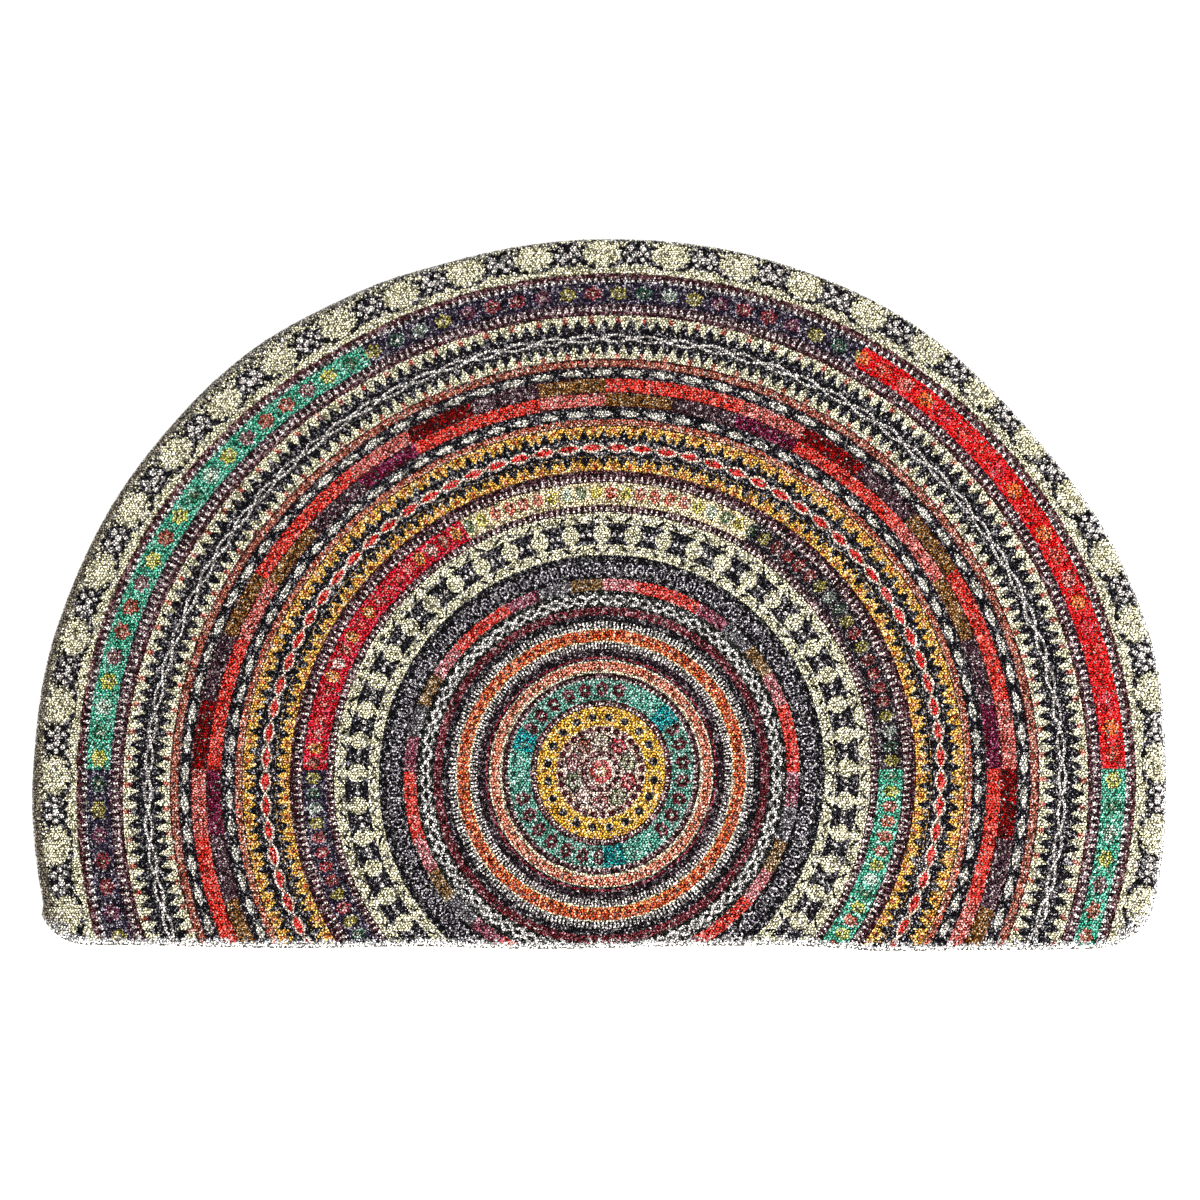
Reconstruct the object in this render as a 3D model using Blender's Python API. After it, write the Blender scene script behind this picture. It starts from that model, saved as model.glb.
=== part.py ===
"""Half-moon doormat: a printed cut-pile face bonded to a thin backing sheet, lying flat.

Metres, +Z up. The origin is on the floor, under the middle of the mat's bounding box.
+X runs along the straight front edge, and +Y from that edge to the top of the arc.
"""

import math

import bmesh
import bpy
from mathutils import Vector

MM = 0.001

# The cut outline: an arc, a straight front edge and two rounded corners.
ARC_RADIUS = 400 * MM
FRONT_SETBACK = 125 * MM
LEFT_CORNER_RADIUS = 38 * MM
RIGHT_CORNER_RADIUS = 46 * MM
ARC_STEP = math.radians(2.5)
CORNER_STEPS = 7
FRONT_STEP = 30 * MM

# How far the knife wandered outside the true outline:
# azimuth about the arc's centre in degrees, outward in mm.
ARC_WAVER = (
    (-18, -1.0),
    (0, -1.0),
    (12, 3.0),
    (22, 2.5),
    (38, -1.5),
    (58, 3.0),
    (72, 2.0),
    (90, 0.0),
    (106, -1.0),
    (116, 2.0),
    (130, 6.0),
    (145, 4.0),
    (165, 1.0),
    (180, -2.5),
    (198, -4.5),
)
# The same along the front edge: place from the middle in mm, outward in mm.
FRONT_WAVER = (
    (-350, -1.0),
    (-205, 1.0),
    (-120, -0.5),
    (-40, 1.2),
    (85, -1.2),
    (130, -2.0),
    (205, 2.0),
    (290, 1.0),
    (350, 0.0),
)

# Heights of the layers.
BACKING_THICKNESS = 2.2 * MM
LAYER_GAP = 0.3 * MM
MAT_HEIGHT = 10 * MM

# The pile's section at a cut edge, from its foot to its flat top, where the tufts splay outwards:
# inset from the cut outline, and share of the pile's height.
PILE_EDGE = (
    (2.0 * MM, 0.00),
    (1.0 * MM, 0.24),
    (1.5 * MM, 0.52),
    (3.0 * MM, 0.76),
    (5.4 * MM, 0.93),
    (8.6 * MM, 1.00),
)
BACKING_EDGE = ((0.6 * MM, 0.00), (0.0, 0.35), (0.0, 1.00))

PILE_COLOUR = (0.13, 0.075, 0.06, 1)
BACKING_COLOUR = (0.62, 0.60, 0.54, 1)


def clear_scene():
    for old in list(bpy.data.objects):
        bpy.data.objects.remove(old, do_unlink=True)


def eased(table, at):
    """The second column of a table at a place in its first, eased between rows."""
    if at <= table[0][0]:
        return table[0][1]
    for (low, here), (high, there) in zip(table, table[1:]):
        if at <= high:
            share = (1 - math.cos(math.pi * (at - low) / (high - low))) / 2
            return here + share * (there - here)
    return table[-1][1]


def corner_centre(radius, side):
    """Centre of a corner that is tangent to the arc and to the front edge. side is -1 left, 1 right."""
    y = radius - FRONT_SETBACK
    return Vector((side * math.sqrt((ARC_RADIUS - radius) ** 2 - y * y), y))


def polar(radius, angle):
    return Vector((radius * math.cos(angle), radius * math.sin(angle)))


def corner_points(radius, side):
    """Points round a corner, anticlockwise, without the two where it meets the arc and the front edge."""
    centre = corner_centre(radius, side)
    meets_arc = math.atan2(centre.y, centre.x)
    meets_front = -math.pi / 2
    start, end = meets_front, meets_arc
    if side < 0:
        start, end = meets_arc + 2 * math.pi, meets_front + 2 * math.pi
    inner = range(1, CORNER_STEPS)
    return [centre + polar(radius, start + (end - start) * i / CORNER_STEPS) for i in inner]


def true_outline():
    """The outline as drawn, before the knife's wander: anticlockwise from the right end of the arc."""
    left = corner_centre(LEFT_CORNER_RADIUS, -1)
    right = corner_centre(RIGHT_CORNER_RADIUS, 1)
    start = math.atan2(right.y, right.x)
    end = math.atan2(left.y, left.x) + 2 * math.pi
    arc_count = round((end - start) / ARC_STEP)
    arc = [polar(ARC_RADIUS, start + (end - start) * i / arc_count) for i in range(arc_count + 1)]
    front_count = round((right.x - left.x) / FRONT_STEP)
    front = [
        Vector((left.x + (right.x - left.x) * i / front_count, -FRONT_SETBACK))
        for i in range(front_count + 1)
    ]
    return arc + corner_points(LEFT_CORNER_RADIUS, -1) + front + corner_points(RIGHT_CORNER_RADIUS, 1)


def outward(points):
    """Unit normals that point out of an anticlockwise loop."""
    normals = []
    for before, after in zip(points[-1:] + points[:-1], points[1:] + points[:1]):
        along = (after - before).normalized()
        normals.append(Vector((along.y, -along.x)))
    return normals


def moved_out(points, distances):
    return [p + n * d for p, n, d in zip(points, outward(points), distances)]


def waver(point):
    """How far the cut edge lies outside the true outline at this point of it."""
    azimuth = math.degrees(math.atan2(point.y, point.x))
    if azimuth < -90:
        azimuth += 360
    on_front = point.y <= -0.8 * FRONT_SETBACK
    return MM * (eased(FRONT_WAVER, point.x / MM) if on_front else eased(ARC_WAVER, azimuth))


def cut_outline():
    """The outline as cut, with the middle of its bounding box at the origin."""
    points = true_outline()
    points = moved_out(points, [waver(p) for p in points])
    xs, ys = [p.x for p in points], [p.y for p in points]
    middle = Vector((min(xs) + max(xs), min(ys) + max(ys))) / 2
    return [p - middle for p in points]


def layer(name, outline, edge, low, high, material):
    """A closed sheet between two heights, whose edge follows a section given from its foot to its top."""
    bm = bmesh.new()
    rings = []
    for inset, share in edge:
        ring = moved_out(outline, [-inset] * len(outline))
        rings.append([bm.verts.new((p.x, p.y, low + share * (high - low))) for p in ring])
    for lower, upper in zip(rings, rings[1:]):
        for i in range(len(outline)):
            j = (i + 1) % len(outline)
            bm.faces.new((lower[i], lower[j], upper[j], upper[i]))
    bm.faces.new(rings[0][::-1])
    bm.faces.new(rings[-1])
    bmesh.ops.triangulate(bm, faces=[f for f in bm.faces if len(f.verts) > 4])
    mesh = bpy.data.meshes.new(name)
    bm.to_mesh(mesh)
    bm.free()
    mesh.materials.append(material)
    mesh.shade_smooth()
    mesh.set_sharp_from_angle(angle=math.radians(35))
    obj = bpy.data.objects.new(name, mesh)
    bpy.context.collection.objects.link(obj)
    return obj


def finish(name, colour, roughness):
    material = bpy.data.materials.new(name)
    material.use_nodes = True
    shader = material.node_tree.nodes["Principled BSDF"]
    shader.inputs["Base Color"].default_value = colour
    shader.inputs["Roughness"].default_value = roughness
    shader.inputs["Metallic"].default_value = 0.0
    return material


clear_scene()
outline = cut_outline()
layer("backing", outline, BACKING_EDGE, 0.0, BACKING_THICKNESS, finish("pale rubber", BACKING_COLOUR, 0.8))
pile_foot = BACKING_THICKNESS + LAYER_GAP
layer("pile_face", outline, PILE_EDGE, pile_foot, MAT_HEIGHT, finish("printed pile", PILE_COLOUR, 0.95))
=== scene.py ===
import math
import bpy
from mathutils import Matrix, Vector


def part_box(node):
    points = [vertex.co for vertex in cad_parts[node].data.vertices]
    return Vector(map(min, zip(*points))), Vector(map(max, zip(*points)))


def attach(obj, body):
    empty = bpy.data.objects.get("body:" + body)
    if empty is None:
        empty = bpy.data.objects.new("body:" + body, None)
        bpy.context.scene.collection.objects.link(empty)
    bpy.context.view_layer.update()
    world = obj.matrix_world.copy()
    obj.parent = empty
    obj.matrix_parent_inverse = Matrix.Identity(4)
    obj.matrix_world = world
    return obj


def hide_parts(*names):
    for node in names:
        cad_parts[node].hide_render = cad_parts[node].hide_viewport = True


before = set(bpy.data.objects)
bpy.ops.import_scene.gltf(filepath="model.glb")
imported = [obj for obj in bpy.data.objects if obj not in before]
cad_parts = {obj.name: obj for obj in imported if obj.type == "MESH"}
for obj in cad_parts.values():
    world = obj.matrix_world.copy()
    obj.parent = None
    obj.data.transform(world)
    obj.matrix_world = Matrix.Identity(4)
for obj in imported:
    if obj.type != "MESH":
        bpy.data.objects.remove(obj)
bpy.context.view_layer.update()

from types import SimpleNamespace

import bpy
import numpy as np
from mathutils import Matrix, Vector

MM = 0.001

# ---------------------------------------------------------------------------------------------
# Backing. A thin sheet of off-white rubber, calendered against a fine cloth and bonded under the
# pile, then cut with it. It lies flat on the floor, and only its cut edge shows from above.


def linear(hex_code):
    """An sRGB hex colour as linear RGBA."""
    parts = [int(hex_code[i : i + 2], 16) / 255 for i in (1, 3, 5)]
    return (*[c / 12.92 if c <= 0.04045 else ((c + 0.055) / 1.055) ** 2.4 for c in parts], 1.0)


def add(tree, kind, *feeds, named=None, stops=None, **settings):
    """Adds a node with its settings. feeds go to its live inputs in order, and named ones by name.

    stops are a ramp's steps, each a share of its length and a linear colour.
    """
    node = tree.nodes.new("ShaderNode" + kind)
    for name, value in settings.items():
        setattr(node, name, value)
    if stops:
        ramp = node.color_ramp
        ramp.interpolation = "CONSTANT"
        ramp.elements.remove(ramp.elements[1])
        ramp.elements[0].position, ramp.elements[0].color = stops[0]
        for position, colour in stops[1:]:
            ramp.elements.new(position).color = colour
    live = [socket for socket in node.inputs if socket.enabled]
    by_name = {node.inputs[name]: value for name, value in (named or {}).items()}
    for socket, value in [*zip(live, feeds), *by_name.items()]:
        if isinstance(value, bpy.types.Node):
            value = next(output for output in value.outputs if output.enabled)
        if isinstance(value, bpy.types.NodeSocket):
            tree.links.new(value, socket)
        else:
            socket.default_value = value
    return node


def new_material(name):
    """A new material, with its node tree and its shader."""
    material = bpy.data.materials.new(name)
    material.use_nodes = True
    return material, material.node_tree, material.node_tree.nodes["Principled BSDF"]


# Calendered rubber: matt and slightly chalky, with the print of the cloth it was rolled against.
EMBOSS_PITCH = 0.9 * MM
EMBOSS_DEPTH = 0.1 * MM
CHALK_PATCH = 22 * MM
WAVE_PHASE_PER_METRE = 20.0  # the phase that a wave texture of scale 1 runs through in a metre
rubber, tree, shader = new_material("calendered off-white rubber")
place = add(tree, "TexCoord").outputs["Object"]
chalk = add(tree, "TexNoise", place, named={"Scale": 1 / CHALK_PATCH, "Detail": 4.0})
tint = add(tree, "Mix", chalk, linear("#c9c3b4"), linear("#e4dfd2"), data_type="RGBA")
rib_scale = 2 * math.pi / WAVE_PHASE_PER_METRE / EMBOSS_PITCH
ribs = [
    add(tree, "TexWave", place, named={"Scale": rib_scale}, bands_direction=axis) for axis in "XY"
]
cloth = add(tree, "Math", ribs[0].outputs["Fac"], ribs[1].outputs["Fac"], operation="ADD")
relief = add(tree, "Bump", named={"Height": cloth, "Distance": EMBOSS_DEPTH, "Strength": 0.6})
tree.links.new(tint.outputs[2], shader.inputs["Base Color"])
tree.links.new(relief.outputs[0], shader.inputs["Normal"])
shader.inputs["Roughness"].default_value = 0.82
shader.inputs["IOR"].default_value = 1.52
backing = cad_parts["backing"]
backing.data.materials.clear()
backing.data.materials.append(rubber)

# ---------------------------------------------------------------------------------------------
# Pile roots. Twisted polyester yarn tufted through a ground cloth: the lower part of the pile is
# a close mass of yarn, drawn here as one closed body that rounds over along the cut edge. The
# tufts hide it, but for the foot of the pile, which carries a painted shadow against the backing.

OUTLINE_CENTRE = np.array([-0.8, -136.5]) * MM  # the centre of the arc that the mat is cut to
SAME_LEVEL = 0.01 * MM
corners = [v.co for v in backing.data.vertices]
backing_top = max(v.z for v in corners)
rim = {(round(v.x, 6), round(v.y, 6)) for v in corners if v.z > backing_top - SAME_LEVEL}


def angle_in_plan(point):
    """The azimuth of a point of the mat about the arc's centre."""
    return math.atan2(point[1] - OUTLINE_CENTRE[1], point[0] - OUTLINE_CENTRE[0])


# The backing's cut edge as a loop of points, and the way outwards at each of them.
RIM = np.array(sorted(rim, key=angle_in_plan))
ahead, behind = np.roll(RIM, -1, axis=0) - RIM, RIM - np.roll(RIM, 1, axis=0)
heading = ahead / np.hypot(*ahead.T)[:, None] + behind / np.hypot(*behind.T)[:, None]
heading /= np.hypot(*heading.T)[:, None]
OUTWARD = np.column_stack([heading[:, 1], -heading[:, 0]])
pile_low, pile_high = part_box("pile_face")
PILE_FOOT, PILE_TOP = pile_low.z, pile_high.z


def raise_mesh(name, points, faces, material, plan=None):
    """A smooth mesh of triangles that rides with the mat. plan is its map, flattened, in metres."""
    points, faces = np.asarray(points, np.float32), np.asarray(faces, np.int32)
    mesh = bpy.data.meshes.new(name)
    mesh.vertices.add(len(points))
    mesh.vertices.foreach_set("co", points.ravel())
    mesh.loops.add(faces.size)
    mesh.loops.foreach_set("vertex_index", faces.ravel())
    mesh.polygons.add(len(faces))
    mesh.polygons.foreach_set("loop_start", np.arange(0, faces.size, 3, dtype=np.int32))
    mesh.update(calc_edges=True)
    mesh.shade_smooth()
    mesh.materials.append(material)
    plan = points[:, :2] if plan is None else plan
    corner, reach = plan.min(axis=0), np.ptp(plan, axis=0).max()
    spread = (plan[faces.ravel()] - corner) / reach
    mesh.uv_layers.new(name="OFBake").data.foreach_set("uv", spread.astype(np.float32).ravel())
    piece = bpy.data.objects.new(name, mesh)
    bpy.context.scene.collection.objects.link(piece)
    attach(piece, "root")
    return piece


# Polyester yarn at the foot of the pile: dull, with a painted shadow against the backing in dark
# specks between pale fibres, which breaks the foot of the pile into a dotted line. The specks are
# drawn coarser than real, 1.5 mm apart, so that they show.
FOOT_SHADOW_SPACING = 1.5 * MM
foot_shadow_yarn, tree, shader = new_material("polyester yarn with painted foot shadow")
place = add(tree, "TexCoord").outputs["Object"]
foot_shadow_specks = add(tree, "TexNoise", place, named={"Scale": 1 / FOOT_SHADOW_SPACING, "Detail": 2.0})
# Painted shadow: dark specks where the pile meets the backing, with pale fibres between them.
shown = add(tree, "MapRange", foot_shadow_specks, 0.51, 0.57)
tint = add(tree, "Mix", shown, linear("#171312"), linear("#d9d4cb"), data_type="RGBA")
relief = add(tree, "Bump", named={"Height": foot_shadow_specks, "Distance": 0.5 * MM, "Strength": 0.7})
tree.links.new(tint.outputs[2], shader.inputs["Base Color"])
tree.links.new(relief.outputs[0], shader.inputs["Normal"])
shader.inputs["Roughness"].default_value = 0.92

# The roots' section at the cut edge, from the backing upwards: how far inside the edge, and how
# high over the pile's foot, in mm. The faces that close them below and on top meet at MIDDLE.
ROOT_SECTION = [(1.0, 0.1), (0.3, 0.7), (0.9, 1.6), (2.6, 3.0), (4.4, 4.1), (6.6, 4.7), (9.5, 5.0)]
MIDDLE = OUTLINE_CENTRE + (0, 50 * MM)
count = len(RIM)
rings = [
    np.column_stack([RIM - OUTWARD * inset * MM, np.full(count, PILE_FOOT + height * MM)])
    for inset, height in ROOT_SECTION
]
under = [*MIDDLE, PILE_FOOT + ROOT_SECTION[0][1] * MM]
over = [*MIDDLE, PILE_FOOT + ROOT_SECTION[-1][1] * MM]
top = (len(rings) - 1) * count
faces = []
for i in range(count):
    j = (i + 1) % count
    for level in range(0, top, count):
        above = level + count
        faces += [(level + i, level + j, above + j), (level + i, above + j, above + i)]
    faces += [(top + count, j, i), (top + count + 1, top + i, top + j)]
roots = raise_mesh("pile_roots", np.vstack([*rings, under, over]), faces, foot_shadow_yarn)
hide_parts("pile_face")

# ---------------------------------------------------------------------------------------------
# Cut edge tufts. Where the mat was cut to its half-round, the outermost tufts lean out over the
# backing and show the sides of their yarn. The dye was printed onto the tips alone, so these are
# bare: three rows of locks, from the backing up to the face.


TINY = 1e-9


def rim_side(points):
    """How far inside the cut edge each point is, and the way out to that edge."""
    depth, way = np.full(len(points), np.inf), np.zeros((len(points), 2))
    inside = np.zeros(len(points), bool)
    for start, end in zip(RIM, np.roll(RIM, -1, axis=0)):
        run = end - start
        along = np.clip((points - start) @ run / (run @ run), 0, 1)
        offset = start + along[:, None] * run - points
        distance = np.hypot(*offset.T)
        closer = distance < depth
        depth[closer] = distance[closer]
        way[closer] = offset[closer] / np.maximum(distance[closer], TINY)[:, None]
        if start[1] != end[1]:
            level = (start[1] > points[:, 1]) != (end[1] > points[:, 1])
            edge_x = run[0] * (points[:, 1] - start[1]) / run[1] + start[0]
            inside ^= level & (points[:, 0] < edge_x)
    sign = np.where(inside, 1.0, -1.0)
    return depth * sign, way * sign[:, None]


def smoothstep(low, high, value):
    """From 0 to 1 between two values, eased at both."""
    t = np.clip((value - low) / (high - low), 0, 1)
    return t * t * (3 - 2 * t)


# The rings' own centre, and how far they are from round, in mm and in degrees of azimuth.
RING_CENTRE = np.array([5.9, -136.5])
FRONT_SAG = 6.2  # the inner rings dip towards the front edge,
SAG_FROM, SAG_OVER = 15, 45  # from this far behind their centre, growing over this distance,
SAG_FADES = (115, 240)  # and fading away between these radii
LEFT_BULGE, LEFT_BULGE_AT = 4.5, 152  # the outer rings stand out at this azimuth,
BULGE_FADES = (6, 36)  # and this fades away between these angles to each side of it
RIGHT_DRAW = 3.0  # and they are drawn in at the lower right,
DRAW_FADES = (-17, 0)  # which fades away between these azimuths
OUTER_RINGS = (336, 360)  # both set in between these radii


def print_place(points):
    """Where points of the mat, in mm from the rings' centre, lie on the print as it was drawn.

    The rings aren't quite round, as if the mat was a little stretched when it was printed.
    """
    x, y = points[..., 0], points[..., 1]
    reach, turn = np.hypot(x, y), np.degrees(np.arctan2(y, x))
    near_front = 1 - np.exp(-np.maximum(SAG_FROM - y, 0) / SAG_OVER)
    sag = FRONT_SAG * near_front * (1 - smoothstep(*SAG_FADES, reach))
    bulge = LEFT_BULGE * (1 - smoothstep(*BULGE_FADES, np.abs(turn - LEFT_BULGE_AT)))
    bulge -= RIGHT_DRAW * (1 - smoothstep(*DRAW_FADES, turn))
    bulge = np.where(turn < -90, 0, bulge)
    grown = 1 - bulge * smoothstep(*OUTER_RINGS, reach) / np.maximum(reach, 1)
    return np.stack([x * grown, (y + sag) * grown], axis=-1)


# A lock of cut yarn has a skirt of three corners, a crown of three and a tip. Its size, its crown
# and the place of its print vary by chance.
SKIRT_DROP, SKIRT_RADIUS = 2.5 * MM, 2.2 * MM
CROWN_DROP, CROWN_RADIUS = 0.5 * MM, 0.85 * MM
SKIRT_ON_MAP = 0.45  # skirts overlap their neighbours, so they are drawn in on the map
LOCK_SIZES = (0.88, 1.15)
CROWN_SPREAD, PRINT_SPREAD = 0.16 * MM, 0.12  # the second is how far the print strays, in mm
LOWEST = 0.2 * MM  # no lock reaches down to the floor
UP_THE_LOCK = [0, 0, 0, 0.8, 0.8, 0.8, 1]  # how high each corner is, as a share
CORNERS = len(UP_THE_LOCK)
LOCK_FACES = np.array(
    [(0, 1, 4), (1, 2, 5), (2, 0, 3), (4, 3, 0), (5, 4, 1), (3, 5, 2), (3, 4, 6), (4, 5, 6), (5, 3, 6)]
)
rng = np.random.default_rng(41)


def tufts(name, tips, axes, bare, material):
    """One mesh of cut locks. It carries where each corner lies on the print, and each lock's traits:
    its tone, how bare it is, a chance number, and the height of each corner up the lock."""
    n = len(tips)

    # Two ways square to each lock's axis. The nudge gives upright locks one as well.
    level = np.cross(axes, (0.0, 0.0, 1.0)) + rng.normal(0, 0.02, (n, 3))
    level /= np.linalg.norm(level, axis=1)[:, None]
    level -= axes * np.sum(level * axes, axis=1)[:, None]
    level /= np.linalg.norm(level, axis=1)[:, None]
    other = np.cross(axes, level)

    low_turn = rng.uniform(0, 2 * math.pi, n)[:, None] + np.arange(3) * 2 * math.pi / 3
    high_turn = low_turn + math.pi / 3
    size = rng.uniform(*LOCK_SIZES, n)[:, None, None]
    points = np.empty((n, CORNERS, 3))
    for corners, turn, drop, radius in [
        (slice(0, 3), low_turn, SKIRT_DROP, SKIRT_RADIUS),
        (slice(3, 6), high_turn, CROWN_DROP, CROWN_RADIUS),
    ]:
        spread = np.cos(turn)[..., None] * level[:, None] + np.sin(turn)[..., None] * other[:, None]
        points[:, corners] = tips[:, None] - axes[:, None] * drop + spread * radius * size
    points[:, 3:6] += rng.normal(0, CROWN_SPREAD, (n, 3, 3))
    points[:, 6] = tips
    points[..., 2] = np.maximum(points[..., 2], LOWEST)
    plan = points[..., :2].copy()
    plan[:, 0:3] = tips[:, None, :2] + (plan[:, 0:3] - tips[:, None, :2]) * SKIRT_ON_MAP
    faces = (LOCK_FACES[None] + CORNERS * np.arange(n)[:, None, None]).reshape(-1, 3)
    corners = points.reshape(-1, 3)
    piece = raise_mesh(name, corners, faces, material, plan.reshape(-1, 2))

    under = print_place(points[..., :2] / MM - RING_CENTRE)
    under += rng.normal(0, PRINT_SPREAD, (n, 1, 2))
    under = np.concatenate([under, np.zeros((n, CORNERS, 1))], axis=2)
    places = piece.data.attributes.new("print_place", "FLOAT_VECTOR", "POINT")
    places.data.foreach_set("vector", under.astype(np.float32).ravel())
    traits = np.ones((n, CORNERS, 4))
    traits[..., 0] = rng.uniform(0, 1, n)[:, None]
    traits[..., 1] = bare[:, None]
    traits[..., 2] = rng.uniform(0, 1, n)[:, None]
    traits[..., 3] = UP_THE_LOCK
    stored = piece.data.attributes.new("tuft", "FLOAT_COLOR", "POINT")
    stored.data.foreach_set("color", traits.astype(np.float32).ravel())
    return piece


# The pile's tufts stand in close rows. Towards the cut edge they lean out, sink and lose their dye.
# The widths and depths here are in mm, and each lean is the tangent of its angle.
TUFT_PITCH = 2.0 * MM
JITTER = 0.22  # as a share of the pitch
NEAREST_THE_EDGE = 1.8 * MM
EDGE_LEAN, LEAN_WIDTH, CHANCE_LEAN = 1.6, 9, 0.22
EDGE_SINK, SINK_WIDTH, CHANCE_SINK = 3.2, 8, 0.7
BARE, BARE_LEFT, BARE_FRONT, BARE_CORNER = 1.6, 5.2, 1.4, 3.0  # widths without dye
RAGGED, RAGGED_FRONT, RAGGED_CORNER = 0.7, 1.1, 2.0  # how far those widths stray
DYE_FADES = 1.2  # how far to each side of them the dye fades
x = np.arange(pile_low.x, pile_high.x, TUFT_PITCH)
y = np.arange(pile_low.y, pile_high.y, TUFT_PITCH * math.sqrt(3) / 2)
across, up = np.meshgrid(x, y)
across[1::2] += TUFT_PITCH / 2
stand = np.column_stack([across.ravel(), up.ravel()])
stand += rng.uniform(-JITTER, JITTER, stand.shape) * TUFT_PITCH
depth, way = rim_side(stand)
kept = depth > NEAREST_THE_EDGE
stand, depth, way = stand[kept], depth[kept] / MM, way[kept]
lean = EDGE_LEAN * np.clip(1 - depth / LEAN_WIDTH, 0, 1) ** 1.6
sunk = rng.uniform(0, CHANCE_SINK, len(stand))
sunk += EDGE_SINK * np.clip(1 - depth / SINK_WIDTH, 0, 1) ** 2.0
sideways = way * lean[:, None] + rng.normal(0, CHANCE_LEAN, stand.shape)
axes = np.column_stack([sideways, np.ones(len(stand))])
axes /= np.linalg.norm(axes, axis=1)[:, None]
tips = np.column_stack([stand, PILE_TOP - sunk * MM])

# How far the nearest cut edge faces left, faces front or is a front corner, each from 0 to 1.
leftness = np.clip(-1.6 * way[:, 0] - 0.1, 0, 1)
frontness = smoothstep(0.5, 0.9, -way[:, 1])
cornerness = smoothstep(0.25, 0.6, np.abs(way[:, 0])) * smoothstep(0.25, 0.6, -way[:, 1])
bare_width = BARE + BARE_LEFT * leftness + BARE_FRONT * frontness + BARE_CORNER * cornerness
ragged = RAGGED + RAGGED_FRONT * frontness + RAGGED_CORNER * cornerness
past = bare_width - depth + rng.normal(0, 1, len(stand)) * ragged
bare = smoothstep(-DYE_FADES, DYE_FADES, past)
reach = np.hypot(*print_place(stand / MM - RING_CENTRE).T)  # on the print, in mm


# Undyed polyester yarn: dull and fibrous. Painted shade greys it round the left of the cut edge,
# and it is near-white at the front and right, with painted shade as dark specks where the locks
# part. Real fibres lie far closer, and they are drawn 1.4 mm apart so that they show.
GRAIN_SPACING = 1.4 * MM
SHADED_LEFT, UNSHADED_RIGHT = -360.0, 260.0  # mm from the rings' centre
SHADED_BACK, UNSHADED_FRONT = -104.0, -118.0


def undyed_yarn(tree):
    """The colour of bare yarn, with painted shade round the left of the cut edge and between the
    locks.
    """
    place = add(tree, "TexCoord").outputs["Object"]
    grain = add(tree, "TexNoise", place, named={"Scale": 1 / GRAIN_SPACING, "Detail": 1.0})
    where = add(tree, "Attribute", attribute_name="print_place").outputs["Vector"]
    x, y, _ = add(tree, "SeparateXYZ", where).outputs
    # Painted shade: greyer towards the left and the back of the cut edge, near-white at front and
    # right.
    rightward = add(tree, "MapRange", x, SHADED_LEFT, UNSHADED_RIGHT, 0.0, 1.0)
    forward = add(tree, "MapRange", y, SHADED_BACK, UNSHADED_FRONT, 0.0, 1.0)
    unshaded = add(tree, "Math", rightward, forward, operation="MAXIMUM")
    tint = add(tree, "Mix", unshaded, linear("#8a8070"), linear("#fbfaf8"), data_type="RGBA")
    # Painted shade: dark specks where the locks part.
    shade = add(tree, "MapRange", grain, 0.45, 0.54, 0.08, 1.1)
    return add(tree, "VectorMath", tint.outputs[2], shade, operation="SCALE").outputs[0]


bare_yarn, tree, shader = new_material("undyed polyester yarn")
tree.links.new(undyed_yarn(tree), shader.inputs["Base Color"])
shader.inputs["Roughness"].default_value = 0.92

EDGE_PITCH = 1.9 * MM
# How far inside the cut edge each row's tips are and how high, in mm, and how far they stray.
# The last spread is for the way that the locks point.
EDGE_ROWS = [(2.5, 3.3), (1.5, 4.8), (1.7, 6.3)]
INSET_SPREAD, HEIGHT_SPREAD, WAY_SPREAD = 0.25, 0.3, 0.15
LOWEST_RISE, RISE_PER_MM = 0.15, 0.12  # the lowest row lies nearly flat, and each above it less so
steps = np.hypot(*(np.roll(RIM, -1, axis=0) - RIM).T)
lengths = np.concatenate([[0], np.cumsum(steps)])
closed_rim, closed_outward = np.vstack([RIM, RIM[:1]]), np.vstack([OUTWARD, OUTWARD[:1]])
edge_tips, edge_axes = [], []
for inset, height in EDGE_ROWS:
    wanted = np.arange(rng.uniform(0, EDGE_PITCH), lengths[-1], EDGE_PITCH)
    at = np.column_stack([np.interp(wanted, lengths, closed_rim[:, k]) for k in (0, 1)])
    out = np.column_stack([np.interp(wanted, lengths, closed_outward[:, k]) for k in (0, 1)])
    at -= out * (inset + rng.normal(0, INSET_SPREAD, len(at)))[:, None] * MM
    high = height + rng.normal(0, HEIGHT_SPREAD, len(at))
    edge_tips.append(np.column_stack([at, high * MM]))
    rise = LOWEST_RISE + RISE_PER_MM * (height - EDGE_ROWS[0][1])
    edge_axes.append(np.column_stack([out, np.full(len(out), rise)]))
edge_tips, edge_axes = np.vstack(edge_tips), np.vstack(edge_axes)
edge_axes += rng.normal(0, WAY_SPREAD, edge_axes.shape)
edge_axes /= np.linalg.norm(edge_axes, axis=1)[:, None]
pile = [tufts("tufts_cut_edge", edge_tips, edge_axes, np.ones(len(edge_tips)), bare_yarn)]

# ---------------------------------------------------------------------------------------------
# Border tufts. Cut polyester pile, dyed by a print on the finished mat. The outermost ring of the
# print is a cream border of round discs, with a dark spotted figure between each two.


def printed(name):
    """A print's material. reach is how far each point is from the rings' centre, in mm, and turns
    is its azimuth, in turns."""
    material, tree, shader = new_material(name)
    where = add(tree, "Attribute", attribute_name="print_place").outputs["Vector"]
    reach = add(tree, "VectorMath", where, operation="LENGTH")
    x, y, _ = add(tree, "SeparateXYZ", where).outputs
    angle = add(tree, "Math", y, x, operation="ARCTAN2")
    turns = add(tree, "Math", angle, 1 / (2 * math.pi), operation="MULTIPLY")
    return SimpleNamespace(
        material=material, tree=tree, shader=shader, where=where, reach=reach, turns=turns
    )


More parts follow.
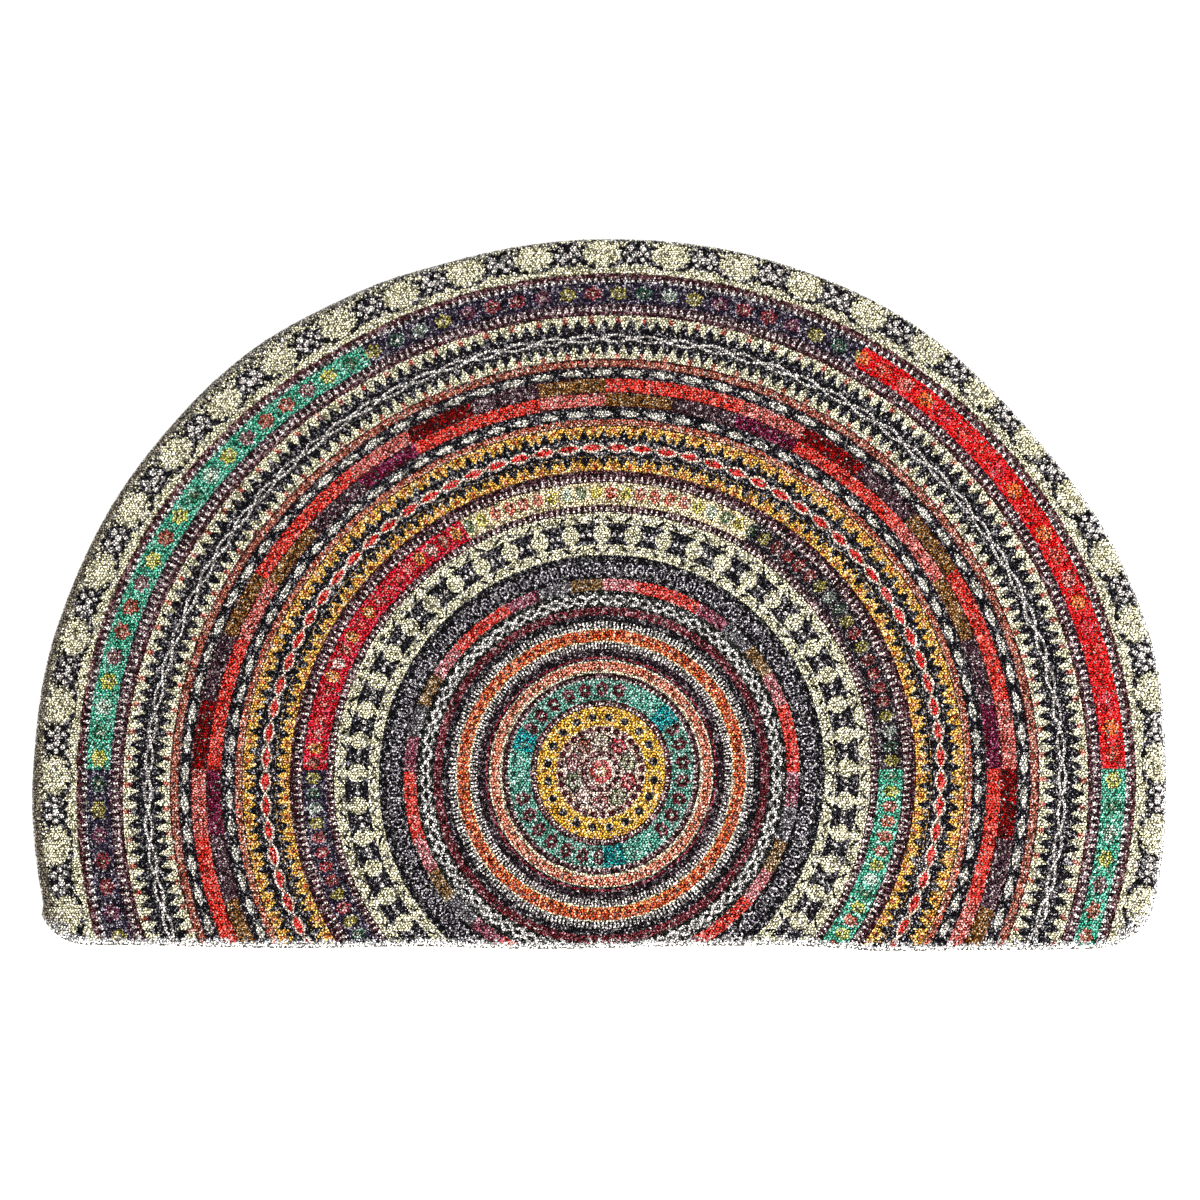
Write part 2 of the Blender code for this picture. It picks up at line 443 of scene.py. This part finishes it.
def plain_rings(art, rings):
    """The plain rings, each as its inner radius in mm and its ink. The last only ends the print."""
    start, span = rings[0][0], rings[-1][0] - rings[0][0]
    share = add(art.tree, "Math", art.reach, 1 / span, -start / span, operation="MULTIPLY_ADD")
    stops = [((inner - start) / span, linear(hue)) for inner, hue in rings]
    art.colour = add(art.tree, "ValToRGB", share, stops=stops).outputs[0]


def ink(art, mask, colour):
    """Lays a colour over the print, by a mask of 0 to 1."""
    colour = linear(colour) if isinstance(colour, str) else colour
    art.colour = add(art.tree, "Mix", mask, art.colour, colour, data_type="RGBA").outputs[2]


def both(art, mask, other):
    """The product of two masks, or of a mask and a number."""
    return add(art.tree, "Math", mask, other, operation="MULTIPLY")


def ring(art, low, high):
    """1 between two radii in mm."""
    return add(art.tree, "Math", art.reach, (low + high) / 2, (high - low) / 2, operation="COMPARE")


def aside(art, count, phase, middle, signed=False):
    """How far along a ring of this middle radius the nearest of count repeats is, in mm.

    phase moves the repeats anticlockwise, by a share of one. signed keeps the way it lies.
    """
    pitch = 2 * math.pi * middle / count
    length, first = 2 * math.pi * middle, -phase * pitch
    along = add(art.tree, "Math", art.turns, length, first, operation="MULTIPLY_ADD")
    if signed:
        return add(art.tree, "Math", along, pitch / 2, -pitch / 2, operation="WRAP")
    return add(art.tree, "Math", along, pitch / 2, operation="PINGPONG")


PETAL_DEPTH = 0.14  # how far a petalled outline goes in and out, as a share of its radius


def motifs(art, count, phase, middle, half_width, half_height, petals=0):
    """A ring of ovals or petalled flowers: 0 at the middle of each, and 1 on its outline."""
    along = aside(art, count, phase, middle, signed=True)
    scale, shift = (1 / half_width, 1 / half_height, 0), (0, -middle / half_height, 0)
    spot = add(art.tree, "CombineXYZ", along, art.reach)
    spot = add(art.tree, "VectorMath", spot, scale, shift, operation="MULTIPLY_ADD")
    oval = add(art.tree, "VectorMath", spot, operation="LENGTH")
    if not petals:
        return oval
    x, y, _ = add(art.tree, "SeparateXYZ", spot).outputs
    turn = add(art.tree, "Math", y, x, operation="ARCTAN2")
    turn = add(art.tree, "Math", turn, petals, operation="MULTIPLY")
    wave = add(art.tree, "Math", turn, operation="COSINE")
    lobes = add(art.tree, "Math", wave, PETAL_DEPTH, 1.0, operation="MULTIPLY_ADD")
    return both(art, oval, lobes)


def fill(art, shape, colour, low=None, high=1.0, strength=1.0):
    """Inks a ring of motifs or a plait, from low to high on its own scale, or all below high."""
    if low is None:
        mask = add(art.tree, "Math", shape, high, operation="LESS_THAN")
    else:
        mask = add(art.tree, "Math", shape, (low + high) / 2, (high - low) / 2, operation="COMPARE")
    ink(art, mask if strength == 1 else both(art, mask, strength), colour)


def arms(art, count, phase, start, end, first, slope, half_width, colour):
    """Two slanting strokes at each repeat, from one radius to another. They are first mm aside
    at the start, and slope mm further for each mm outwards."""
    figure = aside(art, count, phase, (start + end) / 2)
    line = add(art.tree, "Math", art.reach, slope, first - slope * start, operation="MULTIPLY_ADD")
    stroke = add(art.tree, "Math", figure, line, half_width, operation="COMPARE")
    ink(art, both(art, stroke, ring(art, min(start, end), max(start, end))), colour)


def dots(art, count, phase, places, colour):
    """Round dots on both sides of each repeat, each as its distance aside, the radius of the ring
    that it lies on, and its own radius, in mm."""
    spot = add(art.tree, "CombineXYZ", aside(art, count, phase, places[0][1]), art.reach)
    for way_aside, radius, size in places:
        away = add(art.tree, "VectorMath", spot, (way_aside, radius, 0), operation="DISTANCE")
        ink(art, add(art.tree, "Math", away, size, operation="LESS_THAN"), colour)


# Printed cut polyester pile: dull, deep and never one flat colour. The dye takes unevenly, so
# each lock has its own tone, with pale flecks where a fibre missed the dye, and painted shade
# draws dark flecks where the locks part. Strong dyes cover better than pale ones. Real fibres are
# about 0.05 mm thick, and the flecks are drawn 1.5 mm long so that they show.
FLECK_LENGTH = 1.5 * MM
FIBRE_SPACING = 0.6 * MM


def finish_pile(art, pale_share=0.9):
    """Turns the print into dyed yarn. pale_share is how pale the missed fibres of weak dyes are."""
    tree = art.tree
    place = add(tree, "TexCoord").outputs["Object"]
    traits = add(tree, "Attribute", attribute_name="tuft")

    # A fine grain, turned by chance for each lock and mixed with the lock's own tone.
    tone, bare, chance = add(tree, "SeparateColor", traits.outputs["Color"]).outputs
    turned = add(tree, "Math", chance, 2 * math.pi, operation="MULTIPLY")
    strands = add(tree, "VectorRotate", place, rotation_type="Z_AXIS", named={"Angle": turned})
    strands = add(tree, "VectorMath", strands, (1.0, 0.42, 1.0), operation="MULTIPLY")
    grain = {"Scale": 1 / FLECK_LENGTH, "Detail": 1.0, "Roughness": 0.9}
    fleck = add(tree, "TexNoise", strands, named=grain)
    mixed = add(tree, "Math", tone, 0.25, fleck, operation="MULTIPLY_ADD")

    # The dye's own saturation and brightness say how pale a fibre is where the dye missed it.
    _, strength, brightness = add(tree, "SeparateColor", art.colour, mode="HSV").outputs
    missed = add(tree, "MapRange", strength, 0.50, 0.75, pale_share, 0.2)
    unsoaked = add(tree, "MapRange", strength, 0.945, 0.97, 1.0, 0.0)
    uncovered = add(tree, "MapRange", brightness, 0.02, 0.30, 0.5, 1.0)
    missed = both(art, both(art, missed, unsoaked), uncovered)
    light = add(tree, "Gamma", art.colour, 0.4)
    light = add(tree, "Mix", missed, light, linear("#fffaf4"), data_type="RGBA").outputs[2]

    # The grain makes the dye uneven. Painted shade draws dark partings, and painted shade darkens
    # each lock to its skirt.
    unevenness = add(tree, "MapRange", mixed, 0.40, 0.85, 1.5, 0.64)
    art.colour = add(tree, "Gamma", art.colour, unevenness).outputs[0]
    parting_shade = add(tree, "MapRange", mixed, 0.525, 0.55, 0.07, 1.0)
    skirt_shade = add(tree, "MapRange", traits.outputs["Alpha"], 0.25, 0.85, 0.3, 1.0)
    shade = both(art, parting_shade, skirt_shade)
    art.colour = add(tree, "VectorMath", art.colour, shade, operation="SCALE").outputs[0]

    # The missed fibres show where the grain is highest, and the bare yarn near the cut edge.
    starts = add(tree, "MapRange", strength, 0.50, 0.75, 0.775, 0.76)
    over = add(tree, "Math", mixed, starts, operation="SUBTRACT")
    ink(art, add(tree, "MapRange", over, 0.0, 0.015, 0.0, 0.95), light)
    ink(art, bare, undyed_yarn(tree))

    fibres = add(tree, "TexNoise", place, named={"Scale": 1 / FIBRE_SPACING, "Detail": 1.0})
    relief = add(tree, "Bump", named={"Height": fibres, "Distance": 0.3 * MM, "Strength": 0.8})
    tree.links.new(art.colour, art.shader.inputs["Base Color"])
    tree.links.new(relief.outputs[0], art.shader.inputs["Normal"])
    art.shader.inputs["Roughness"].default_value = 0.88
    art.shader.inputs["Specular IOR Level"].default_value = 0.1


# Where one band's tufts end and the next band's begin, in mm from the rings' centre.
BORDER_FROM, FLOWERS_FROM, SAW_TEETH_FROM = 370.5, 339, 304
PATCHES_FROM, SAFFRON_FROM, DISCS_FROM = 252, 188, 110


def lay_tufts(name, inner, outer, art):
    """The tufts whose roots lie between two radii of the print, in mm."""
    chosen = (reach >= inner) & (reach < outer)
    pile.append(tufts(name, tips[chosen], axes[chosen], bare[chosen], art.material))


CREAM, WHITE, NAVY, PLUM = "#f6efc8", "#f6eee6", "#14101c", "#2b1624"
OXBLOOD, WINE = "#431014", "#5a2a30"
art = printed("border print on cut polyester pile")
CREAM_STARTS, PRINT_ENDS = 370.6, 430
plain_rings(
    art,
    [
        (360, PLUM),
        (366, WINE),
        (369.5, OXBLOOD),
        (CREAM_STARTS, CREAM),
        (PRINT_ENDS, CREAM),
    ],
)

# The cream frays into the navy towards the cut edge, in specks drawn 2.4 mm apart.
SPECK_SPACING = 2.4
specks = add(art.tree, "TexNoise", art.where, named={"Scale": 1 / SPECK_SPACING, "Detail": 1.0})
frayed = add(art.tree, "MapRange", art.reach, 376.0, 392.0, 0.40, 0.50)
frayed = add(art.tree, "Math", specks, frayed, operation="LESS_THAN")
ink(art, both(art, frayed, ring(art, 375, PRINT_ENDS)), "#2c2832")

# Each figure is a navy blot on two slanting legs, with cream between them and pale spots on it.
# The discs lie over the legs.
DISCS, DISC_PHASE, FIGURE_PHASE = 48, 0.08, 0.58
fill(art, motifs(art, DISCS, FIGURE_PHASE, 386.5, 12.2, 9.2, petals=8), NAVY)
arms(art, DISCS, FIGURE_PHASE, 382, 374.6, 7.2, -1.9, 4.6, NAVY)
fill(art, motifs(art, DISCS, FIGURE_PHASE, 370.5, 12.5, 6.4), CREAM)
fill(art, motifs(art, DISCS, DISC_PHASE, 386.0, 13.0, 9.8, petals=12), CREAM)
figure_spots = [(4.6, 390.5, 2.4), (1.9, 385.6, 2.3), (7.8, 386.0, 2.0), (4.8, 381.6, 1.8)]
dots(art, DISCS, FIGURE_PHASE, figure_spots, WHITE)
finish_pile(art)
lay_tufts("tufts_border", BORDER_FROM, math.inf, art)

# ---------------------------------------------------------------------------------------------
# Flower band tufts. The same pile, printed with a ring of small flowers. Its ground changes
# colour six times round: green, night, red, green and night twice, with a cord on either side.


def clockwise_share(art, count, start=180):
    """From 0 to 1, clockwise through each of count parts of the round, from a start in degrees."""
    share = add(art.tree, "Math", art.turns, -count, count * start / 360, operation="MULTIPLY_ADD")
    return add(art.tree, "Math", share, operation="FRACT")


def sectors(art, count, values):
    """A constant colour, or a number, for each equal part of the round or of a count-th of it."""
    colours = [linear(v) if isinstance(v, str) else (v, v, v, 1) for v in values]
    stops = [(i / len(colours), colour) for i, colour in enumerate(colours)]
    return add(art.tree, "ValToRGB", clockwise_share(art, count), stops=stops).outputs[0]


def teeth(art, count, phase, base, apex, half_width, colour):
    """A ring of triangles that stand on one radius and point at the other."""
    slope = -half_width / (apex - base)
    taper = add(art.tree, "Math", art.reach, slope, -slope * apex, operation="MULTIPLY_ADD")
    tooth = add(art.tree, "Math", aside(art, count, phase, base), taper, operation="LESS_THAN")
    ink(art, both(art, tooth, ring(art, min(base, apex), max(base, apex))), colour)


def flowers(art, middle, half_width, half_height, row):
    """As many flowers to each sixth of the round as row has: petals, a dark ring and a pale eye."""
    flower = motifs(art, 6 * len(row), 0.55, middle, half_width, half_height, petals=6)
    fill(art, flower, sectors(art, 6, row), strength=0.85)
    fill(art, flower, "#2a1820", 0.30, 0.46, strength=0.45)
    fill(art, flower, "#efe4b4", high=0.26, strength=0.5)


def ground_wash(art, band, grounds, shares):
    """The ground's dye runs back over its flowers, by a share for each sector."""
    ink(art, both(art, band, sectors(art, 1, shares)), grounds)


GREEN, RED, NIGHT = "#4cb292", "#f20e10", "#30253e"
art = printed("flower print on cut polyester pile")
plain_rings(
    art,
    [
        (330, CREAM),
        (337.4, OXBLOOD),
        (338.6, "#54262e"),
        (341, "#3a1826"),  # the ground of the inner spikes
        (346.8, NAVY),  # the flowers' ring
        (363.3, PLUM),  # the ground of the outer spikes
        (366, WINE),
        (369.5, OXBLOOD),
        (CREAM_STARTS, CREAM),  # the border
        (380, CREAM),
    ],
)
band = ring(art, 346.8, 363.3)
grounds = sectors(art, 1, [GREEN, NIGHT, RED, GREEN, NIGHT, NIGHT])
ink(art, band, grounds)
YELLOW, LEAF, MINT, MAUVE, BRICK = "#dccc50", "#2c6c46", "#cfe4d0", "#96405a", "#bc3020"
posy = [YELLOW, LEAF, MINT, YELLOW, MAUVE, BRICK, BRICK, MAUVE, YELLOW]
flowers(art, 355, 5.9, 5.1, [*posy, BRICK, *posy, LEAF])
ground_wash(art, band, grounds, [0.014, 0.46, 0.70, 0.065, 0.43, 0.43])
teeth(art, 432, 0.0, 341, 346.5, 1.5, "#efdcd4")
teeth(art, 432, 0.5, 363.5, 368.2, 1.7, WHITE)
finish_pile(art)
lay_tufts("tufts_flower_band", FLOWERS_FROM, BORDER_FROM, art)

# ---------------------------------------------------------------------------------------------
# Saw-tooth band tufts. The same pile, printed with navy saw teeth that point both ways from a
# plaited chain, over cream, with a small red dot at every other tip.


def plait(art, count, phase, middle, half_height):
    """Two strands that cross between repeats: how far outside them each point is, in mm. It is
    below 0 in the eyes between the strands."""
    pitch = 2 * math.pi * middle / count
    along = aside(art, count, phase, middle, signed=True)
    turn = add(art.tree, "Math", along, math.pi / pitch, operation="MULTIPLY")
    bow = add(art.tree, "Math", turn, operation="COSINE")
    bow = add(art.tree, "Math", bow, half_height, operation="MULTIPLY")
    off = add(art.tree, "Math", art.reach, middle, operation="SUBTRACT")
    off = add(art.tree, "Math", off, operation="ABSOLUTE")
    return add(art.tree, "Math", off, bow, operation="SUBTRACT")


RUST, CORAL = "#b05844", "#cf5a48"
art = printed("saw-tooth print on cut polyester pile")
plain_rings(
    art,
    [
        (296, NAVY),
        (298, RUST),
        (303.2, OXBLOOD),
        (304.4, CREAM),  # the inner teeth point inwards into it
        (316, NAVY),  # the plaited chain's ground
        (326, CREAM),  # the outer teeth point outwards into it
        (337.4, OXBLOOD),
        (338.6, "#4a2c38"),
        (341, PLUM),
        (350, PLUM),
    ],
)
for base, apex, dot in [(326, 335.8, 334.5), (316, 306, 306.5)]:
    teeth(art, 216, 0.14, base, apex, 4.9, NAVY)
    fill(art, motifs(art, 108, 0.57, dot, 2.0, 2.6), CORAL, strength=0.8)
fill(art, plait(art, 84, 0.71, 320, 2.4), WHITE, -0.9, 0.9, strength=0.9)
finish_pile(art)
lay_tufts("tufts_saw_band", SAW_TEETH_FROM, FLOWERS_FROM, art)

# ---------------------------------------------------------------------------------------------
# Patchwork band tufts. The same pile, printed with two rows of coloured patches that lie like
# bricks, six to each sixth of the round, between rings of pale ovals on navy and rust cords.
DARK_RED, SLATE, OLIVE = "#640000", "#4a2a36", "#80501a"
PATCH_RED, PINK, VIOLET = "#e8382a", "#d8695e", "#620628"
SAFFRON, SHELL, STRAW = "#f4b84e", "#e6e0d2", "#e8c09c"
art = printed("patchwork print on cut polyester pile")
plain_rings(
    art,
    [
        (246, SAFFRON),
        (252.3, OXBLOOD),
        (253.7, "#bd5840"),  # the inner cord
        (258, NAVY),  # the ovals' ground, with the patches between
        (297.3, OXBLOOD),
        (298.3, RUST),  # the outer cord
        (303.2, OXBLOOD),
        (304.4, CREAM),
        (310, CREAM),
    ],
)
outer_patches = [DARK_RED, SLATE, OLIVE, PATCH_RED, PATCH_RED, PINK]
inner_patches = [PATCH_RED, PATCH_RED, PINK, OLIVE, SLATE, VIOLET]
ink(art, ring(art, 278, 289), sectors(art, 6, outer_patches))
ink(art, ring(art, 267.8, 278), sectors(art, 6, inner_patches))
fill(art, plait(art, 84, 0.12, 293.7, 3.9), SHELL, high=-1.3)
fill(art, plait(art, 84, 0.10, 262.2, 3.7), SHELL, high=-1.3)
ink(art, ring(art, 253.5, 254.2), "#e8b894")
for seam in (267.8, 278.2, 289.2):
    ink(art, ring(art, seam - 0.5, seam + 0.5), OXBLOOD)
fill(art, motifs(art, 336, 0.0, 300.6, 1.2, 1.4), STRAW, strength=0.5)
fill(art, motifs(art, 336, 0.0, 256, 1.0, 1.2), STRAW, strength=0.5)
finish_pile(art)
lay_tufts("tufts_patch_band", PATCHES_FROM, SAW_TEETH_FROM, art)

# ---------------------------------------------------------------------------------------------
# Saffron band tufts. The same pile, printed with saffron edges cut into navy teeth, with a strand
# of red lozenges between them. Inside it lie a cord and a narrower flower band.
MAROON, DUSTY, EMBER = "#3a0e1a", "#fbe6dc", "#c8502c"
art = printed("saffron print on cut polyester pile")
plain_rings(
    art,
    [
        (184, CREAM),
        (187.4, MAROON),  # the ground of the inner spikes
        (193.2, NAVY),  # the flowers' ring
        (210, MAROON),  # the ground of the outer spikes
        (217.8, OXBLOOD),
        (219.2, SAFFRON),
        (229.5, NAVY),  # the lozenges' ground
        (242.5, SAFFRON),
        (252.3, OXBLOOD),
        (253.7, "#bd5840"),
        (260, NAVY),
    ],
)
for base, apex, dot in [(229.5, 221, 222.0), (242.5, 251, 249.8)]:
    teeth(art, 108, 0.07, base, apex, 4.4, NAVY)
    teeth(art, 108, 0.57, base, (base + apex) / 2, 3.0, NAVY)
    fill(art, motifs(art, 108, 0.57, dot, 1.8, 2.4), EMBER, strength=0.8)
strand = plait(art, 84, 0.5, 236.5, 3.4)
fill(art, strand, "#e62c26", high=-0.6)
fill(art, strand, "#f6ddc6", -0.9, 0.8)
band = ring(art, 193.2, 210)
grounds = sectors(art, 1, ["#d21428", "#fbe6b4", "#2a1e28", GREEN, NIGHT, NIGHT])
ink(art, band, grounds)
ROSE, POPPY = "#dc6258", "#e0443a"
posy = [YELLOW, ROSE, POPPY, POPPY, ROSE, YELLOW, MINT, LEAF, YELLOW]
flowers(art, 202.5, 3.9, 5.0, [LEAF, *posy, POPPY, *posy])
ground_wash(art, band, grounds, [0.48, 0.03, 0.58, 0.1, 0.41, 0.41])
teeth(art, 300, 0.0, 211, 216.4, 1.3, DUSTY)
teeth(art, 300, 0.5, 188.6, 193.0, 1.1, DUSTY)
finish_pile(art)
lay_tufts("tufts_saffron_band", SAFFRON_FROM, PATCHES_FROM, art)

# ---------------------------------------------------------------------------------------------
# Inner disc band tufts. The same pile, printed with the border's discs again, smaller and joined
# by necks. Inside them lie a ring of pale loops, a row of patches and a plaited chain.
LOOP, DRIED_ROSE = "#bcb4c0", "#6a1c26"
art = printed("disc print on cut polyester pile")
plain_rings(
    art,
    [
        (106, NAVY),
        (111.5, DRIED_ROSE),
        (117.2, "#171a18"),  # the plaited chain's ground
        (129.8, NAVY),  # the patches' ring
        (138.5, "#0e0a14"),  # the loops' ground
        (156.2, CREAM),  # the discs' ring
        (187.4, PLUM),
        (190, PLUM),
    ],
)
patches = ["#94485a", "#706c72", "#88643a", "#d47c80", "#e64034", "#e64034"]
ink(art, ring(art, 129.8, 138.5), sectors(art, 6, patches))
ink(art, ring(art, 163.5, 180), NAVY)
arms(art, 48, 0.57, 180.5, 185.5, 4.2, 1.1, 1.3, NAVY)
arms(art, 48, 0.57, 162.5, 157.5, 4.2, -1.1, 1.3, NAVY)
fill(art, motifs(art, 48, 0.07, 171.5, 6.2, 6.6), CREAM)
neck = add(art.tree, "Math", aside(art, 48, 0.07, 171.5), 2.0, operation="LESS_THAN")
ink(art, both(art, neck, ring(art, 157, 186)), CREAM)
dots(art, 48, 0.57, [(2.4, 171.0, 1.5)], WHITE)
fill(art, motifs(art, 120, 0.6, 146, 3.0, 4.6), LOOP, 0.74, 1.0)
fill(art, motifs(art, 120, 0.6, 146, 0.7, 0.9), LOOP)
fill(art, plait(art, 84, 0.71, 123, 2.9), "#f6f0ea", -1.2, 1.05)
finish_pile(art)
lay_tufts("tufts_disc_band", DISCS_FROM, SAFFRON_FROM, art)

# ---------------------------------------------------------------------------------------------
# Rosette tufts. The same pile, printed with the middle of the design: spiked orange and salmon
# rings, a teal ring with small flowers, a saffron ring with navy dots, and a wreath round an eye.
ORANGE, SALMON, TEAL = "#e86030", "#ee8668", "#6ab4a0"
art = printed("rosette print on cut polyester pile")
plain_rings(
    art,
    [
        (0, "#ffd8b0"),  # the eye
        (3.4, "#cf5f5c"),
        (7.4, "#ecd6c4"),
        (9.6, "#481018"),
        (13.3, "#f2d6c2"),  # the wreath's ground
        (25.5, "#ffe0c4"),
        (31, "#f4b83e"),  # the saffron ring, with its dots
        (44.8, "#481018"),
        (49.5, TEAL),
        (64.5, "#3a0e18"),
        (69, CREAM),
        (70.7, SALMON),
        (77.3, CREAM),
        (78.2, NAVY),
        (79.3, "#8a1826"),
        (81, "#24101c"),  # the inner black ring
        (91.4, CREAM),
        (92.3, ORANGE),
        (101, CREAM),
        (101.9, "#180e18"),  # the outer black ring
        (111.5, DRIED_ROSE),
        (116, DRIED_ROSE),
    ],
)
# Fine teeth, as the base radius, the tip's radius, count, phase, half width and ink of each ring.
for base, apex, count, phase, half_width, hue in [
    (92.3, 101.0, 144, 0.0, 0.7, "#f4b266"),
    (101.0, 92.3, 144, 0.5, 0.7, "#8a2c1c"),
    (70.7, 77.3, 120, 0.0, 0.6, "#f6c8a0"),
    (77.3, 70.7, 120, 0.5, 0.6, "#a84634"),
    (64.9, 67.6, 120, 0.0, 0.9, DUSTY),
    (45.9, 48.4, 120, 0.5, 0.7, DUSTY),
]:
    teeth(art, count, phase, base, apex, half_width, hue)

# The black rings' white strokes are really finer and closer, perhaps 310 to the round, and are
# drawn coarser so that they show.
STROKES = 240
for low, high, half_width in [(86.8, 91.6, 0.56), (101.7, 106.6, 0.64)]:
    stroke = aside(art, STROKES, 0.0, (low + high) / 2)
    stroke = add(art.tree, "Math", stroke, half_width, operation="LESS_THAN")
    ink(art, both(art, stroke, ring(art, low, high)), WHITE)
fill(art, motifs(art, 72, 0.5, 96.7, 1.5, 1.3), "#9a3420")

# Each third of the teal ring is plain, then deep teal, then flowered.
third = clockwise_share(art, 3, start=193)
stops = [(0, linear(TEAL)), (0.217, linear("#0c8a8c")), (0.333, linear("#62a08e"))]
ink(art, ring(art, 49.5, 64.5), add(art.tree, "ValToRGB", third, stops=stops).outputs[0])
flowered = add(art.tree, "Math", third, 0.34, operation="GREATER_THAN")
wreath = motifs(art, 30, 0.5, 57.4, 4.1, 5.2, petals=6)
petals = add(art.tree, "Math", wreath, 1.0, operation="LESS_THAN")
ink(art, both(art, petals, flowered), "#5c1822")
fill(art, wreath, "#8fc4aa", high=0.26)

navy_dots = motifs(art, 20, 0.55, 37.5, 2.5, 2.5)
fill(art, navy_dots, "#f5e4a8", high=1.35, strength=0.4)
fill(art, navy_dots, NAVY, high=1.1)
fill(art, motifs(art, 28, 0.3, 28.6, 2.6, 2.3), "#500e18")

wreath = motifs(art, 10, 0.5, 20.2, 5.6, 5.2, petals=6)
petals = ["#b4747a", "#a8604e", "#e4d8bc", "#c02e3c", "#98a078"]
petals += ["#c8464c", "#a8b28c", "#cc8482", "#dcc0b8", "#6c7a5c"]
fill(art, wreath, sectors(art, 1, petals), high=0.95)
fill(art, wreath, "#300a12", 0.88, 1.08)
fill(art, wreath, "#e6cdb8", 0.34, 0.52, strength=0.7)
fill(art, wreath, "#4a1420", high=0.26)
fill(art, motifs(art, 12, 0.5, 11.5, 1.0, 1.0), "#e8c4b0")
finish_pile(art, pale_share=0.6)
lay_tufts("tufts_rosette", 0, DISCS_FROM, art)

# ---------------------------------------------------------------------------------------------
# Floor, light and camera. A plain pale floor in an evenly white room, with one soft lamp in front
# of the mat on its right. The camera looks down at the mat from high over its front.
FLOOR_HALF, FLOOR_ALBEDO = 4.0, 0.9
ROOM_STRENGTH = 1.38
LAMP_PLACE, LAMP_WIDTH, LAMP_WATTS = Vector((1.4, -1.6, 1.6)), 1.2, 220
CAMERA_PLACE, CAMERA_TARGET = Vector((144.6, -600.0, 2115.7)) * MM, Vector((3.1, -11.4, 0)) * MM
CAMERA_ROLL = -13.28  # degrees
FOCAL_LENGTH, SENSOR_WIDTH = 92.656, 36  # mm
corners = [(x * FLOOR_HALF, y * FLOOR_HALF, 0) for x, y in [(-1, -1), (1, -1), (1, 1), (-1, 1)]]
floor_mesh = bpy.data.meshes.new("floor")
floor_mesh.from_pydata(corners, [], [(0, 1, 2, 3)])
floor = bpy.data.objects.new("floor", floor_mesh)
bpy.context.scene.collection.objects.link(floor)
pale, tree, shader = new_material("pale painted floor")
shader.inputs["Base Color"].default_value = (FLOOR_ALBEDO, FLOOR_ALBEDO, FLOOR_ALBEDO, 1)
floor_mesh.materials.append(pale)

room = bpy.data.worlds.new("white room")
room.use_nodes = True
background = room.node_tree.nodes["Background"]
background.inputs["Color"].default_value = (1, 1, 1, 1)
background.inputs["Strength"].default_value = ROOM_STRENGTH
bpy.context.scene.world = room
bpy.context.scene.view_settings.view_transform = "Standard"


def facing(place, target, roll=0.0):
    """A place in the world that looks at a target, rolled about its view by an angle in degrees."""
    aim = (target - place).to_track_quat("-Z", "Y").to_matrix().to_4x4()
    return Matrix.Translation(place) @ aim @ Matrix.Rotation(math.radians(roll), 4, "Z")


lamp_data = bpy.data.lights.new("soft lamp", "AREA")
lamp_data.size = LAMP_WIDTH
lamp_data.energy = LAMP_WATTS
lamp = bpy.data.objects.new("soft lamp", lamp_data)
lamp.matrix_world = facing(LAMP_PLACE, Vector((0, 0, 0)))
bpy.context.scene.collection.objects.link(lamp)

camera_data = bpy.data.cameras.new("camera")
camera_data.sensor_width = SENSOR_WIDTH
camera_data.lens = FOCAL_LENGTH
camera_data.clip_end = 20
camera = bpy.data.objects.new("camera", camera_data)
camera.matrix_world = facing(CAMERA_PLACE, CAMERA_TARGET, roll=CAMERA_ROLL)
bpy.context.scene.collection.objects.link(camera)
bpy.context.scene.camera = camera
